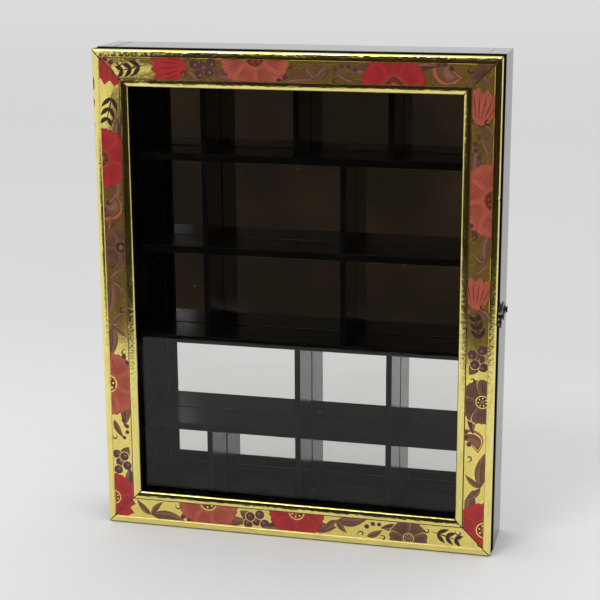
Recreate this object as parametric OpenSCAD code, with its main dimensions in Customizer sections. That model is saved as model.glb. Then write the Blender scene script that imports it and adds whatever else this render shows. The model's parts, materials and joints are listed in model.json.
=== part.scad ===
/* [Case] */
// Width of the case, across the viewer's front
case_w = 223; // [160:0.5:320]
// Height of the case
case_h = 274.5; // [180:0.5:400]
// Depth of the case boards, front to back
case_d = 31; // [24:0.5:60]
// Thickness of the case boards
wall_t = 9.5; // [8:0.5:14]

/* [Back] */
// Thickness of the back panel
back_t = 1.2; // [1:0.1:3]
// Thickness of the mirror pane
mirror_t = 1.2; // [1:0.1:3]
// How far the back panel lies in from the back edge of the boards
back_recess = 0.5; // [0.5:0.1:2]
// Width of the rebate that holds the back panel
panel_lap = 6; // [4.5:0.1:7]
// How far the mirror pane reaches behind the boards
mirror_lap = 2.5; // [1:0.1:2.8]
// Gap round the edge of the back panel
panel_clear = 0.25; // [0.1:0.05:0.5]

/* [Compartments] */
// Thickness of the shelves
shelf_t = 4.2; // [2:0.1:6]
// Thickness of the dividers
divider_t = 3.2; // [2:0.1:5]
// Gap between the shelves or dividers and the mirror
slat_gap = 1; // [0.3:0.1:3]

/* [Door] */
// Width of the door's moulding
rail_w = 20; // [18:0.5:28]
// Thickness of the door's moulding
rail_t = 9.5; // [9:0.5:14]
// Gap between the back of the door and the front of the case
door_gap = 0.5; // [0.3:0.1:1]
// How far the door stops short of the case on the latch side
door_side_gap = 0.5; // [0.3:0.1:2]
// How far the door stops short of the case at the top and at the foot
door_end_gap = 0.5; // [0.3:0.1:2]
// Gap of the glue line in each mitre
mitre_gap = 0.1; // [0.05:0.05:0.3]

/* [Moulding] */
// Width of the outer bead
bead_w = 3.8; // [2.5:0.1:5]
// Fall of the outer bead's face towards the outer edge
bead_fall = 0.8; // [0.2:0.1:1.2]
// Width of the round at the outer edge
edge_w = 0.9; // [0.5:0.1:1.5]
// Depth at which the outer edge's round meets the side
edge_drop = 2; // [1.5:0.1:3]
// Width of the steps from the beads down to the printed panel
step_w = 0.4; // [0.2:0.05:0.6]
// Depth of the printed panel below the outer bead
panel_drop = 0.6; // [0.5:0.05:1.2]
// Width of the bead at the sight edge
sight_bead_w = 4; // [3:0.1:5]
// Depth of the sight bead's crest below the outer bead
crest_drop = 0.25; // [0:0.05:0.4]
// Fall of the sight bead's face towards the sight edge
crest_fall = 0.6; // [0.3:0.1:1]
// Width of the round at the sight edge
sight_edge_w = 0.9; // [0.5:0.1:1.5]
// Depth at which the sight edge's round meets the lip
sight_drop = 2.1; // [1.6:0.1:2.6]

/* [Glass] */
// Thickness of the glass pane
glass_t = 2; // [1.5:0.1:2.2]
// Depth of the glass rebate at the back of the moulding
rebate_d = 3; // [2.8:0.1:3.5]
// Width of the glass rebate
rebate_w = 5; // [3:0.1:6]
// Gap round the edge of the glass pane
glass_clear = 0.5; // [0.2:0.1:1]
// Distance from a corner of the door to the glazing points along a stile
point_inset_z = 76; // [50:1:100]
// Distance from a corner of the door to the glazing points along a rail
point_inset_x = 58; // [50:1:75]
// Length of a glazing point
point_l = 8; // [6:0.5:10]
// Width of a glazing point
point_w = 5; // [3:0.5:7]
// Thickness of a glazing point
point_t = 0.5; // [0.3:0.1:0.7]

/* [Hinges] */
// Height of a hinge
hinge_h = 18; // [14:0.5:26]
// Distance from the ends of a leaf to its nails
leaf_nail_in = 3; // [2:0.1:4]
// Distance from the hinge's axis to the nails
leaf_nail_reach = 3.7; // [3.3:0.1:4.1]
// Distance from each end of the case to the middle of a hinge
hinge_inset = 32; // [25:1:50]
// Reach of a leaf from the pin's axis
leaf_reach = 5.7; // [5:0.1:5.8]
// Thickness of a leaf
leaf_t = 0.6; // [0.4:0.1:0.8]
// Outer radius of a knuckle
knuckle_r = 1.3; // [1.1:0.05:1.8]
// Radius of the hinge pin
hinge_pin_r = 0.6; // [0.4:0.05:0.7]
// Gap between a knuckle and what it turns past
knuckle_clear = 0.15; // [0.1:0.05:0.3]
// Gap between two knuckles along the pin
knuckle_gap = 0.2; // [0.1:0.05:0.4]
// Radial clearance of a turning fit
fit_clear = 0.05; // [0.02:0.01:0.09]

/* [Latch] */
// Height of the latch above the foot of the case
latch_z = 136.4; // [100:0.1:150]
// Distance from the hook's pivot to the stud
hook_reach = 15.5; // [14:0.1:17]
// Width of the hook's bar
hook_bar_w = 2; // [1.6:0.1:2.4]
// Thickness of the hook
hook_t = 1.2; // [0.8:0.1:1.6]
// Middle radius of the hook's arch
hook_arch_r = 10.5; // [10:0.1:12]
// Radius of the hook's eye
hook_eye_r = 2.4; // [2:0.1:2.8]
// Radius of the pivot pin
pivot_r = 0.9; // [0.6:0.05:1.1]
// Radius of the stud on the door
stud_r = 1; // [0.7:0.05:1.2]
// Gap between the hook and the stud
hook_clear = 0.4; // [0.3:0.05:0.8]
// Length of the hook's straight jaw below the stud's middle
jaw_l = 1.6; // [1:0.1:2]
// Middle radius of the finger tail
tail_r = 2.6; // [2:0.1:3]
// Angle through which the finger tail bends
tail_angle = 75; // [40:1:90]
// Width of the finger tail
tail_w = 1.2; // [0.8:0.1:1.4]
// Thickness of the latch plates
plate_t = 0.6; // [0.4:0.1:0.8]
// Side gap between the hook and what it turns past
hook_side_clear = 0.2; // [0.1:0.05:0.4]
// Radius of the heads on the pivot and the stud
cap_r = 1.7; // [1.4:0.1:2.2]
// Thickness of the heads on the pivot and the stud
cap_t = 0.7; // [0.4:0.1:1]
// Radius of the base plate's round end
base_eye_r = 2.8; // [2.4:0.1:3.2]
// Distance from the pivot to the back edge of the base plate
base_reach = 5.6; // [5.4:0.1:7]
// Height of the base plate's tab
base_h = 7.3; // [6.6:0.1:9]
// Distance from the base plate's top to its upper nail
base_nail_in = 1.7; // [1.4:0.1:2.2]
// Distance between the base plate's nails
base_nail_gap = 4.1; // [3.4:0.1:4.2]
// Distance from the pivot back to the nails
base_nail_reach = 3.9; // [3.8:0.1:4.2]
// Width of the catch plate, front to back
catch_w = 4.6; // [4:0.1:5]
// Height of the catch plate
catch_h = 9.2; // [9:0.1:11]
// Distance between the catch plate's nails
catch_nail_gap = 6.2; // [6:0.1:6.6]

/* [Nails] */
// Shank radius of the brass pins
brass_pin_r = 0.5; // [0.35:0.05:0.6]
// Head radius of the brass pins
brass_head_r = 0.95; // [0.8:0.05:1.1]
// Head thickness of the brass pins
brass_head_t = 0.45; // [0.3:0.05:0.6]
// Shank length of the brass pins
brass_pin_l = 6; // [4:0.5:7]
// Radius of the steel nails in the case and door corners
nail_r = 0.6; // [0.4:0.05:0.8]
// Distance from the front of the case to its front corner nails
nail_front_in = 8; // [5:0.5:10]
// Distance from the back of the case to its back corner nails
nail_back_in = 10; // [7:0.5:12]
// Distance from the back of the door to its corner nails
door_nail_in = 3.6; // [3.6:0.1:4.2]
// Distance from the door's outer edge to its corner nails
door_nail_up = 8; // [6:0.5:9]
// Length of the steel nails in the case corners
case_nail_l = 22; // [18:1:30]
// Length of the steel nails in the door corners
door_nail_l = 20; // [16:1:26]
// Shank radius of the tacks in the back panel
tack_r = 0.5; // [0.4:0.05:0.6]
// Head radius of the tacks in the back panel
tack_head_r = 1.4; // [1:0.1:1.6]
// Head thickness of the tacks in the back panel
tack_head_t = 0.4; // [0.3:0.05:0.45]
// Shank length of the tacks in the back panel
tack_l = 9; // [7:0.5:10]
// Distance from the edge of the back panel to the tacks
tack_in = 1.8; // [1.7:0.1:2]
// Distance from the ends of the case to the outer tacks along the top and the foot
tack_end_x = 38; // [25:1:60]
// Distance from the ends of the case to the outer tacks along the sides
tack_end_z = 38; // [25:1:60]

/* [Hidden] */

// Smoothness of round parts
fn_fine = 48;
// Overshoot of cutters past a face
over = 1;

// Faces of the case
case_x = case_w / 2;
case_front = -case_d / 2;
case_back = case_d / 2;
inner_w = case_w - 2 * wall_t;
inner_h = case_h - 2 * wall_t;
panel_front = case_back - back_recess - back_t;
mirror_front = panel_front - mirror_t;

// Grid of the compartments: the dividers' places in each row from the top, in columns from the left
columns = 4;
row_dividers = [[1, 2, 3], [1, 2.5], [1, 2.5], [2, 3], [1, 2, 3]];
rows = len(row_dividers);
slat_d = mirror_front - slat_gap - case_front;
row_h = (inner_h - (rows - 1) * shelf_t) / rows;
column_pitch = (inner_w + divider_t) / columns;
function row_floor(row) = wall_t + (rows - row) * (row_h + shelf_t);
function divider_x(row, place) =
    -inner_w / 2 - divider_t / 2 + row_dividers[row - 1][place - 1] * column_pitch;

// Faces of the door
door_left = -case_x;
door_right = case_x - door_side_gap;
door_w = door_right - door_left;
door_mid = (door_left + door_right) / 2;
door_foot = door_end_gap;
door_h = case_h - 2 * door_end_gap;
door_back = case_front - door_gap;
door_front = door_back - rail_t;
glass_front = door_back - rebate_d;

// Places of the corner nails and of the back panel's tacks
case_nail_ys = [case_front + nail_front_in, case_back - nail_back_in];
door_nail_y = door_back - door_nail_in;
tack_edge = wall_t - panel_lap + panel_clear + tack_in;
tack_xs = [-case_x + tack_end_x, 0, case_x - tack_end_x];
tack_zs = [tack_end_z, case_h / 2, case_h - tack_end_z];

// Hinge axis, outside the left face, in the middle of the gap
hinge_x = -case_x - knuckle_r - knuckle_clear;
hinge_y = case_front - door_gap / 2;
hinge_zs = [hinge_inset, case_h - hinge_inset];
knuckle_h = (hinge_h - 2 * knuckle_gap) / 3;
leaf_nail_z = hinge_h / 2 - leaf_nail_in;

// Latch, on the right side
stud_y = (door_front + edge_drop + door_back) / 2;
pivot_y = stud_y + hook_reach;
hook_x = case_x + plate_t + hook_side_clear;
hook_cap_x = hook_x + hook_t + hook_side_clear;
catch_x = door_right + plate_t;
ring_r = stud_r + hook_clear + hook_bar_w / 2;
arch_a = (hook_reach * hook_reach + 2 * hook_arch_r * ring_r - ring_r * ring_r) / (2 * hook_reach);
arch_b = sqrt(hook_arch_r * hook_arch_r - arch_a * arch_a);
base_top = base_eye_r - base_nail_in / 2;
base_nail_zs = [base_top - base_nail_in, base_top - base_nail_in - base_nail_gap];

// Outline of the moulding, across from the outer edge and back from the front; the angles are the parts of a
// sine wave that the rounds and the outer bead's face follow
round_end = 60;
face_end = 80;
function edge_round(start_drop, end_drop, width) =
    [for (a = [0:12:round_end])
        [width * (1 - cos(a)) / (1 - cos(round_end)),
            start_drop - (start_drop - end_drop) * sin(a) / sin(round_end)]];
function bead_face() =
    [for (k = [0.25:0.25:1])
        [edge_w + (bead_w - edge_w) * k, bead_fall * (1 - sin(face_end * k) / sin(face_end))]];
sight_face_w = sight_bead_w - sight_edge_w;
function sight_face() =
    [for (k = [0:0.25:0.75])
        [rail_w - sight_bead_w + sight_face_w * k, crest_drop + crest_fall * k * k]];
function sight_round() =
    let (points = edge_round(sight_drop, crest_drop + crest_fall, sight_edge_w), last = len(points) - 1)
        [for (i = [0:last]) [rail_w - points[last - i][0], points[last - i][1]]];
function moulding_outline() = concat(
    [[0, rail_t]], edge_round(edge_drop, bead_fall, edge_w), bead_face(),
    [[bead_w + step_w, panel_drop], [rail_w - sight_bead_w - step_w, panel_drop]],
    sight_face(), sight_round(),
    [[rail_w, rail_t - rebate_d], [rail_w - rebate_w, rail_t - rebate_d], [rail_w - rebate_w, rail_t]]);

// A box from its lowest to its highest corner
module block(low, high) {
    translate(low) cube(high - low);
}

// A cylinder along X from x1 to x2
module rod_x(x1, x2, y, z, r) {
    translate([x1, y, z]) rotate([0, 90, 0]) cylinder(h = x2 - x1, r = r, $fn = fn_fine);
}

// A cylinder along Y from y1 to y2
module rod_y(x, y1, y2, z, r) {
    translate([x, y1, z]) rotate([-90, 0, 0]) cylinder(h = y2 - y1, r = r, $fn = fn_fine);
}

// The steps cut round the back of the case for the back panel and the mirror
module back_rebates() {
    panel_in = wall_t - panel_lap;
    mirror_in = wall_t - mirror_lap - panel_clear;
    block([-case_x + panel_in, panel_front, panel_in],
        [case_x - panel_in, case_back + over, case_h - panel_in]);
    block([-case_x + mirror_in, mirror_front, mirror_in],
        [case_x - mirror_in, case_back, case_h - mirror_in]);
}

module case_nail_rods() {
    for (side = [-1, 1], y = case_nail_ys, z = [wall_t / 2, case_h - wall_t / 2]) {
        x = side > 0 ? case_x - case_nail_l : -case_x;
        rod_x(x, x + case_nail_l, y, z, nail_r);
    }
}

// Rods along Y at every tack's place
module at_tacks(y1, y2, r) {
    for (x = tack_xs, z = [tack_edge, case_h - tack_edge]) rod_y(x, y1, y2, z, r);
    for (x = [-case_x + tack_edge, case_x - tack_edge], z = tack_zs) rod_y(x, y1, y2, z, r);
}

module tack_rods() {
    at_tacks(panel_front + back_t - tack_l, panel_front + back_t, tack_r);
}

module case_nails() {
    color("dimgray") case_nail_rods();
}

module side_board(side) {
    x = side > 0 ? case_x - wall_t : -case_x;
    color([0.03, 0.03, 0.03]) difference() {
        block([x, case_front, 0], [x + wall_t, case_back, case_h]);
        back_rebates();
        case_nail_rods();
        tack_rods();
        if (side < 0) hinge_nail_rods(1);
        if (side > 0) base_nail_rods();
        if (side > 0) pivot_shank();
    }
}

module end_board(z) {
    color([0.03, 0.03, 0.03]) difference() {
        block([-inner_w / 2, case_front, z], [inner_w / 2, case_back, z + wall_t]);
        back_rebates();
        case_nail_rods();
        tack_rods();
    }
}

module back_panel() {
    in = wall_t - panel_lap + panel_clear;
    color([0.24, 0.17, 0.11]) difference() {
        block([-case_x + in, panel_front, in], [case_x - in, panel_front + back_t, case_h - in]);
        tack_rods();
    }
}

module back_panel_tacks() {
    color("dimgray") union() {
        tack_rods();
        at_tacks(panel_front + back_t, panel_front + back_t + tack_head_t, tack_head_r);
    }
}

module mirror_pane() {
    in = wall_t - mirror_lap;
    color([0.8, 0.82, 0.84])
        block([-case_x + in, mirror_front, in], [case_x - in, panel_front, case_h - in]);
}

module shelf(row) {
    z = row_floor(row) - shelf_t;
    color([0.04, 0.04, 0.04])
        block([-inner_w / 2, case_front, z], [inner_w / 2, case_front + slat_d, z + shelf_t]);
}

module divider(row, place) {
    x = divider_x(row, place);
    z = row_floor(row);
    color([0.04, 0.04, 0.04])
        block([x - divider_t / 2, case_front, z], [x + divider_t / 2, case_front + slat_d, z + row_h]);
}

// A length of moulding along X, its outer edge at Z = 0, mitred at both ends
module mitred_moulding(length) {
    half = length / 2 - mitre_gap / 2;
    intersection() {
        rotate([0, -90, 0]) linear_extrude(length, center = true) polygon(moulding_outline());
        translate([0, rail_t + over, 0]) rotate([90, 0, 0]) linear_extrude(rail_t + 2 * over)
            polygon([[-half, 0], [half, 0], [half - rail_w, rail_w], [-half + rail_w, rail_w]]);
    }
}

module door_nail_rods() {
    for (z = [door_foot + door_nail_up, door_foot + door_h - door_nail_up]) {
        rod_x(door_left, door_left + door_nail_l, door_nail_y, z, nail_r);
        rod_x(door_right - door_nail_l, door_right, door_nail_y, z, nail_r);
    }
}

module door_corner_nails() {
    color("dimgray") door_nail_rods();
}

// A glazing point lying on the glass, driven sideways into the rebate's wall, at the origin's +X side
module glazing_point() {
    translate([rebate_w - point_l, 0, 0]) rotate([-90, 0, 0]) linear_extrude(point_t)
        polygon([[0, 0], [point_l / 2, point_w / 2], [point_l, 0], [point_l / 2, -point_w / 2]]);
}

module all_glazing_points() {
    y = glass_front + glass_t;
    for (z = [door_foot + point_inset_z, door_foot + door_h - point_inset_z]) {
        translate([door_left + rail_w - rebate_w, y, z]) glazing_point();
        translate([door_right - rail_w + rebate_w, y, z]) rotate([0, 180, 0]) glazing_point();
    }
    for (x = [door_left + point_inset_x, door_right - point_inset_x]) {
        translate([x, y, door_foot + rail_w - rebate_w]) rotate([0, -90, 0]) glazing_point();
        translate([x, y, door_foot + door_h - rail_w + rebate_w]) rotate([0, 90, 0]) glazing_point();
    }
}

module glazing_points() {
    color("silver") all_glazing_points();
}

module door_fixings() {
    door_nail_rods();
    all_glazing_points();
    hinge_nail_rods(-1);
    catch_nail_rods();
    stud_shank();
}

module door_rail_bottom() {
    color([0.83, 0.76, 0.4]) difference() {
        translate([door_mid, door_front, door_foot]) mitred_moulding(door_w);
        door_fixings();
    }
}

module door_rail_top() {
    color([0.83, 0.76, 0.4]) difference() {
        translate([door_mid, door_front, door_foot + door_h]) mirror([0, 0, 1]) mitred_moulding(door_w);
        door_fixings();
    }
}

module door_stile(side) {
    x = side > 0 ? door_right : door_left;
    color([0.83, 0.76, 0.4]) difference() {
        translate([x, door_front, door_foot + door_h / 2]) rotate([0, side > 0 ? -90 : 90, 0])
            mitred_moulding(door_h);
        door_fixings();
    }
}

module glass_pane() {
    in = rail_w - rebate_w + glass_clear;
    color([0.85, 0.92, 0.9, 0.3])
        block([door_left + in, glass_front, door_foot + in],
            [door_right - in, glass_front + glass_t, door_foot + door_h - in]);
}

// The knuckles of a leaf as Z starts: two outer ones on the case leaf, the middle one on the door leaf
function knuckle_starts(side) = side > 0 ? [0, 2 * (knuckle_h + knuckle_gap)] : [knuckle_h + knuckle_gap];

// A hinge leaf: side is 1 for the case's leaf, towards +Y, and -1 for the door's
module hinge_leaf(middle_z, side) {
    x = -case_x - leaf_t;
    near = knuckle_r + knuckle_clear;
    base_z = middle_z - hinge_h / 2;
    bore = side > 0 ? hinge_pin_r : hinge_pin_r + fit_clear;
    color([0.72, 0.57, 0.24]) difference() {
        union() {
            block([x, hinge_y + (side > 0 ? near : -leaf_reach), base_z],
                [-case_x, hinge_y + (side > 0 ? leaf_reach : -near), base_z + hinge_h]);
            for (s = knuckle_starts(side)) {
                block([x, hinge_y - (side > 0 ? 0 : near), base_z + s],
                    [-case_x, hinge_y + (side > 0 ? near : 0), base_z + s + knuckle_h]);
                translate([hinge_x, hinge_y, base_z + s])
                    cylinder(h = knuckle_h, r = knuckle_r, $fn = fn_fine);
            }
        }
        translate([hinge_x, hinge_y, base_z - over])
            cylinder(h = hinge_h + 2 * over, r = bore, $fn = fn_fine);
        hinge_nail_rods(side);
    }
}

module hinge_pin(middle_z) {
    color([0.72, 0.57, 0.24]) translate([hinge_x, hinge_y, middle_z - hinge_h / 2])
        cylinder(h = hinge_h, r = hinge_pin_r, $fn = fn_fine);
}

module hinge_nail_rods(side) {
    for (middle_z = hinge_zs, dz = [-leaf_nail_z, leaf_nail_z])
        rod_x(-case_x - leaf_t, -case_x + brass_pin_l, hinge_y + side * leaf_nail_reach, middle_z + dz,
            brass_pin_r);
}

module hinge_nails(side) {
    x = -case_x - leaf_t;
    color([0.72, 0.57, 0.24]) union() {
        hinge_nail_rods(side);
        for (middle_z = hinge_zs, dz = [-leaf_nail_z, leaf_nail_z])
            rod_x(x - brass_head_t, x, hinge_y + side * leaf_nail_reach, middle_z + dz, brass_head_r);
    }
}

module base_nail_rods() {
    for (z = base_nail_zs)
        rod_x(case_x - brass_pin_l, case_x + plate_t, pivot_y + base_nail_reach, latch_z + z, brass_pin_r);
}

module pivot_shank() {
    rod_x(case_x - brass_pin_l, hook_cap_x, pivot_y, latch_z, pivot_r);
}

module latch_base_plate() {
    x = case_x;
    color([0.72, 0.57, 0.24]) difference() {
        union() {
            rod_x(x, x + plate_t, pivot_y, latch_z, base_eye_r);
            block([x, pivot_y, latch_z + base_top - base_h],
                [x + plate_t, pivot_y + base_reach, latch_z + base_top]);
        }
        base_nail_rods();
        pivot_shank();
    }
}

module latch_base_nails() {
    x = case_x + plate_t;
    color([0.72, 0.57, 0.24]) union() {
        base_nail_rods();
        for (z = base_nail_zs)
            rod_x(x, x + brass_head_t, pivot_y + base_nail_reach, latch_z + z, brass_head_r);
    }
}

module latch_pivot() {
    color([0.72, 0.57, 0.24]) union() {
        pivot_shank();
        rod_x(hook_cap_x, hook_cap_x + cap_t, pivot_y, latch_z, cap_r);
    }
}

// A flat bent bar round a middle point, angles counted from +Y towards +Z
module bar_arc(middle_y, middle_z, r, w, from, to) {
    translate([hook_x, middle_y, middle_z]) rotate([90, 0, 90]) rotate([0, 0, from])
        rotate_extrude(angle = to - from, $fn = 96) translate([r - w / 2, 0]) square([w, hook_t]);
}

// The swing hook: an eye, an arch over to the stud, a ring round it, a jaw in front and a finger tail
module latch_hook() {
    arch_y = pivot_y - arch_a;
    arch_z = latch_z - arch_b;
    end_angle = atan2(arch_b, arch_a - hook_reach);
    jaw_y = stud_y - ring_r;
    tail_y = jaw_y - tail_r + tail_r * cos(tail_angle);
    tail_z = latch_z - jaw_l - tail_r * sin(tail_angle);
    tail_tip_r = tail_w * 3 / 4;
    color([0.72, 0.57, 0.24]) difference() {
        union() {
            rod_x(hook_x, hook_x + hook_t, pivot_y, latch_z, hook_eye_r);
            bar_arc(arch_y, arch_z, hook_arch_r, hook_bar_w, atan2(arch_b, arch_a), end_angle);
            bar_arc(stud_y, latch_z, ring_r, hook_bar_w, end_angle, 180);
            block([hook_x, jaw_y - hook_bar_w / 2, latch_z - jaw_l],
                [hook_x + hook_t, jaw_y + hook_bar_w / 2, latch_z]);
            bar_arc(jaw_y - tail_r, latch_z - jaw_l, tail_r, tail_w, -tail_angle, 0);
            rod_x(hook_x, hook_x + hook_t, tail_y, tail_z, tail_tip_r);
        }
        rod_x(hook_x - over, hook_x + hook_t + over, pivot_y, latch_z, pivot_r + fit_clear);
    }
}

module catch_nail_rods() {
    for (z = [-catch_nail_gap / 2, catch_nail_gap / 2])
        rod_x(door_right - brass_pin_l, catch_x, stud_y, latch_z + z, brass_pin_r);
}

module stud_shank() {
    rod_x(door_right - brass_pin_l, hook_cap_x, stud_y, latch_z, stud_r);
}

module catch_plate() {
    color([0.72, 0.57, 0.24]) difference() {
        block([door_right, stud_y - catch_w / 2, latch_z - catch_h / 2],
            [catch_x, stud_y + catch_w / 2, latch_z + catch_h / 2]);
        catch_nail_rods();
        stud_shank();
    }
}

module catch_nails() {
    color([0.72, 0.57, 0.24]) union() {
        catch_nail_rods();
        for (z = [-catch_nail_gap / 2, catch_nail_gap / 2])
            rod_x(catch_x, catch_x + brass_head_t, stud_y, latch_z + z, brass_head_r);
    }
}

module catch_stud() {
    color([0.72, 0.57, 0.24]) union() {
        stud_shank();
        rod_x(hook_cap_x, hook_cap_x + cap_t, stud_y, latch_z, cap_r);
    }
}

end_board(case_h - wall_t);  // case_top
end_board(0);  // case_bottom
side_board(-1);  // case_left
side_board(1);  // case_right
case_nails();  // case_corner_nails
back_panel();
back_panel_tacks();
mirror_pane();
shelf(1);  // shelf_1
shelf(2);  // shelf_2
shelf(3);  // shelf_3
shelf(4);  // shelf_4
divider(1, 1);  // divider_1_1
divider(1, 2);  // divider_1_2
divider(1, 3);  // divider_1_3
divider(2, 1);  // divider_2_1
divider(2, 2);  // divider_2_2
divider(3, 1);  // divider_3_1
divider(3, 2);  // divider_3_2
divider(4, 1);  // divider_4_1
divider(4, 2);  // divider_4_2
divider(5, 1);  // divider_5_1
divider(5, 2);  // divider_5_2
divider(5, 3);  // divider_5_3
door_rail_top();
door_rail_bottom();
door_stile(-1);  // door_stile_left
door_stile(1);  // door_stile_right
door_corner_nails();
glass_pane();
glazing_points();
hinge_leaf(hinge_zs[1], 1);  // hinge_upper_case_leaf
hinge_leaf(hinge_zs[1], -1);  // hinge_upper_door_leaf
hinge_pin(hinge_zs[1]);  // hinge_upper_pin
hinge_leaf(hinge_zs[0], 1);  // hinge_lower_case_leaf
hinge_leaf(hinge_zs[0], -1);  // hinge_lower_door_leaf
hinge_pin(hinge_zs[0]);  // hinge_lower_pin
hinge_nails(1);  // hinge_case_nails
hinge_nails(-1);  // hinge_door_nails
latch_base_plate();
latch_pivot();
latch_hook();
latch_base_nails();
catch_plate();
catch_stud();
catch_nails();
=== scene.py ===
"""Cufflink display box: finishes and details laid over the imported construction."""

import json
import math
import random

import bmesh
import bpy
from bpy.props import FloatProperty, FloatVectorProperty, IntProperty, PointerProperty
from mathutils import Matrix, Vector, noise
from mathutils.geometry import delaunay_2d_cdt


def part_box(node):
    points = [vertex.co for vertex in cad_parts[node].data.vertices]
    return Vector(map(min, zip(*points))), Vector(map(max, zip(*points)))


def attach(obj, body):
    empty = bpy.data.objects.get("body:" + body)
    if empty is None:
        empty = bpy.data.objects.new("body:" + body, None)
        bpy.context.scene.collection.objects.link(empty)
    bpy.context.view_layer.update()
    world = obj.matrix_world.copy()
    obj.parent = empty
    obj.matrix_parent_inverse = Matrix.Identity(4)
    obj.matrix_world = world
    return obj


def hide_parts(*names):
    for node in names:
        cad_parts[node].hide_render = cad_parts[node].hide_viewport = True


bl_info = {
    "name": "Cufflink display box",
    "version": (1, 0, 0),
    "blender": (4, 5, 0),
    "location": "View3D > Sidebar > Display Box",
    "description": "Builds the finishes of a glass-fronted cufflink display box",
    "category": "Object",
}

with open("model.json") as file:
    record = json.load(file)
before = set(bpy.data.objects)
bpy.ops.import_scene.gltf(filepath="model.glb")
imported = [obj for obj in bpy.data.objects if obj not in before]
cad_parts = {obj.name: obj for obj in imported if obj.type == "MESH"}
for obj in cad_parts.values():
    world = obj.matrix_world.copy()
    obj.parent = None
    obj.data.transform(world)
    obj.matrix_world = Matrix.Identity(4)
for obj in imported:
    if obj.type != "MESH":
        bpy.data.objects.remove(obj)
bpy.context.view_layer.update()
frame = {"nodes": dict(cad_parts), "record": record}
MM = 0.001
RGBA = {"size": 4, "min": 0.0, "max": 1.0}


class BOX_PG_sizes(bpy.types.PropertyGroup):
    """Sizes that the finishes add to the construction."""
    board_edge: FloatProperty(name="Board edge", description="Rounding of the lacquered boards' edges",
        default=0.45 * MM, min=0.0, unit="LENGTH")
    slat_edge: FloatProperty(name="Slat edge", description="Rounding of the painted slats' edges",
        default=0.3 * MM, min=0.0, unit="LENGTH")
    metal_edge: FloatProperty(name="Metal edge", description="Rounding of the small brass parts' edges",
        default=0.12 * MM, min=0.0, unit="LENGTH")
    station: FloatProperty(name="Moulding step", description="Length of one step along the moulding",
        default=0.6 * MM, min=0.2 * MM, unit="LENGTH")
    ripple: FloatProperty(name="Leaf ripple", description="Height of the ripple in the gilded beads",
        default=0.035 * MM, min=0.0, unit="LENGTH")
    mitre_line: FloatProperty(name="Mitre line", description="Width of the dark line along each mitre",
        default=0.35 * MM, min=0.0, unit="LENGTH")
    band_lift: FloatProperty(name="Band lift",
        description="Height of the printed band above the moulding", default=0.03 * MM, min=0.0,
        unit="LENGTH")
    motif_scale: FloatProperty(name="Motif scale", description="Size of the motifs printed on the band",
        default=1.0, min=0.5, max=1.5)
    band_seed: IntProperty(name="Band seed", description="Seed of the small differences in the band",
        default=11, min=0)


class BOX_PG_colours(bpy.types.PropertyGroup):
    """Colours of the finishes."""
    gilding: FloatVectorProperty(name="Gilding", description="Colour of the gold beads",
        subtype="COLOR", default=(0.93, 0.79, 0.26, 1.0), **RGBA)
    band_ground: FloatVectorProperty(name="Band ground", description="Ground of the printed band",
        subtype="COLOR", default=(0.95, 0.83, 0.22, 1.0), **RGBA)
    crimson: FloatVectorProperty(name="Crimson", description="Crimson flowers", subtype="COLOR",
        default=(0.48, 0.022, 0.025, 1.0), **RGBA)
    salmon: FloatVectorProperty(name="Salmon", description="Salmon flowers", subtype="COLOR",
        default=(0.48, 0.105, 0.058, 1.0), **RGBA)
    leaf: FloatVectorProperty(name="Leaf", description="Mauve-brown leaves", subtype="COLOR",
        default=(0.18, 0.078, 0.042, 1.0), **RGBA)
    plum: FloatVectorProperty(name="Plum", description="Plum buds and seeds", subtype="COLOR",
        default=(0.105, 0.034, 0.042, 1.0), **RGBA)
    stem: FloatVectorProperty(name="Stem", description="Dark stems and outlines", subtype="COLOR",
        default=(0.045, 0.018, 0.012, 1.0), **RGBA)
    lacquer: FloatVectorProperty(name="Lacquer", description="Black lacquer of the case",
        subtype="COLOR", default=(0.006, 0.006, 0.006, 1.0), **RGBA)
    slats: FloatVectorProperty(name="Slat paint", description="Satin paint of shelves and dividers",
        subtype="COLOR", default=(0.0035, 0.0033, 0.0031, 1.0), **RGBA)
    brass: FloatVectorProperty(name="Brass", description="Aged brass of the hinges and latch",
        subtype="COLOR", default=(0.12, 0.108, 0.07, 1.0), **RGBA)
    floor: FloatVectorProperty(name="Floor", description="Colour of the floor", subtype="COLOR",
        default=(0.82, 0.82, 0.82, 1.0), **RGBA)


def sizes():
    return bpy.context.scene.box_sizes


def colours():
    return bpy.context.scene.box_colours


def new_node(tree, kind, inputs, **settings):
    """A new node with its settings, and with values or other nodes' outputs in its inputs."""
    made = tree.nodes.new(kind)
    for key, value in settings.items():
        setattr(made, key, value)
    for key, value in inputs.items():
        if isinstance(value, bpy.types.NodeSocket):
            tree.links.new(value, made.inputs[key])
        else:
            made.inputs[key].default_value = value
    return made


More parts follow.
